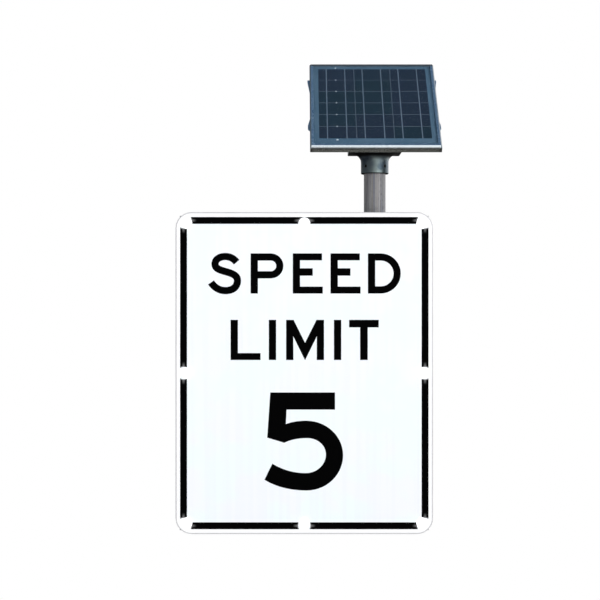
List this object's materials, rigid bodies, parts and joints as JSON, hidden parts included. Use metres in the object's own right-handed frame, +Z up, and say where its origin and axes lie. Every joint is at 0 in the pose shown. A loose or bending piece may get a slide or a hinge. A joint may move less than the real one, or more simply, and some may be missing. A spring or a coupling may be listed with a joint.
{
  "type": "solar speed sign",
  "caption": "Flat rectangular speed sign with lit border lights, a control box and mounting rails behind it, and a tilting solar panel on a mast above.",
  "frame": {"origin": "middle of the post plate's rear face, behind the sign's centre", "axes": "+Z up, +X to the right as a driver reads the sign, -Y out of the printed face, +Y out of the post plate's rear face"},
  "size_m": [0.6309, 0.2414, 1.1395],
  "materials": {
    "sheet_metal": "mill finish aluminium sheet",
    "sheeting": "white prismatic reflective film",
    "led_lens": "clear domed lens over a lit white light",
    "extrusion": "anodised extrusion",
    "galvanised": "galvanised steel",
    "fasteners": "zinc plated",
    "casting": "dark grey-green casting",
    "set_screws": "black oxide",
    "box_shell": "grey powder coat",
    "rubber": "black foam rubber",
    "black_plastic": "moulded black",
    "circuit_board": "green solder mask",
    "terminals": "moulded green",
    "red_button": "moulded red",
    "panel_frame": "anodised, reflecting the sky",
    "panel_glass": "tempered low-iron glass",
    "cells": "dark blue silicon cells"
  },
  "bodies": {
    "sign_head": {"sign_panel": "sheet_metal", "reflective_sheeting": "sheeting", "led_top_left": "led_lens", "led_top_middle": "led_lens", "led_top_right": "led_lens", "led_right_middle": "led_lens", "led_bottom_right": "led_lens", "led_bottom_middle": "led_lens", "led_bottom_left": "led_lens", "led_left_middle": "led_lens", "wireway_top": "sheet_metal", "wireway_bottom": "sheet_metal", "wireway_left": "sheet_metal", "wireway_right": "sheet_metal", "rail_upper": "extrusion", "rail_lower": "extrusion", "post_plate": "galvanised", "mast": "galvanised", "mast_plug": "black_plastic", "mast_saddle_upper": "casting", "mast_saddle_lower": "casting", "mast_strap_upper": "galvanised", "mast_strap_lower": "galvanised", "strap_bolt_upper_left": "fasteners", "strap_bolt_upper_right": "fasteners", "strap_bolt_lower_left": "fasteners", "strap_bolt_lower_right": "fasteners", "control_box": "box_shell", "box_gasket": "rubber", "battery": "black_plastic", "battery_strap": "galvanised", "controller_board": "circuit_board", "terminal_block": "terminals", "conduit_nipple": "fasteners", "solar_gland": "black_plastic", "hinge_pin": "fasteners"},
    "mount_head": {"mount_collar": "casting", "set_screw_1": "set_screws", "set_screw_2": "set_screws", "set_screw_3": "set_screws", "set_screw_4": "set_screws", "tilt_yoke": "casting", "yoke_bolt_front_left": "fasteners", "yoke_bolt_front_right": "fasteners", "yoke_bolt_rear_right": "fasteners", "yoke_bolt_rear_left": "fasteners", "pivot_bolt_left": "fasteners", "pivot_bolt_right": "fasteners"},
    "solar_panel": {"panel_frame_lower": "panel_frame", "panel_frame_right": "panel_frame", "panel_frame_upper": "panel_frame", "panel_frame_left": "panel_frame", "panel_glass": "panel_glass", "cell_laminate": "cells", "junction_box": "black_plastic", "panel_bracket": "galvanised"},
    "door": {"box_door": "box_shell"},
    "latch": {"door_latch": "fasteners"},
    "rocker": {"power_rocker": "black_plastic"},
    "button": {"test_button": "red_button"}
  },
  "joints": [
    {"name": "panel_yaw", "type": "hinge", "parent": "sign_head", "child": "mount_head", "pos_m": [0.17, 0.028, 0.5344], "axis": [0, 0, 1], "range_deg": [-170, 170]},
    {"name": "panel_tilt", "type": "hinge", "parent": "mount_head", "child": "solar_panel", "pos_m": [0.17, 0.028, 0.5904], "axis": [1, 0, 0], "range_deg": [-30, 13]},
    {"name": "door_hinge", "type": "hinge", "parent": "sign_head", "child": "door", "pos_m": [-0.246, 0.06, 0], "axis": [0, 0, 1], "range_deg": [0, 110]},
    {"name": "latch_turn", "type": "hinge", "parent": "door", "child": "latch", "pos_m": [-0.08, 0.06, 0], "axis": [0, 1, 0], "range_deg": [0, 90]},
    {"name": "rocker_tilt", "type": "hinge", "parent": "sign_head", "child": "rocker", "pos_m": [-0.195, 0.01, -0.1655], "axis": [1, 0, 0], "range_deg": [-14, 0]},
    {"name": "button_press", "type": "slide", "parent": "sign_head", "child": "button", "axis": [0, 0, 1], "range_m": [0, 0.0015], "stiffness_N_per_m": 400, "springref_m": -0.0005}
  ]
}
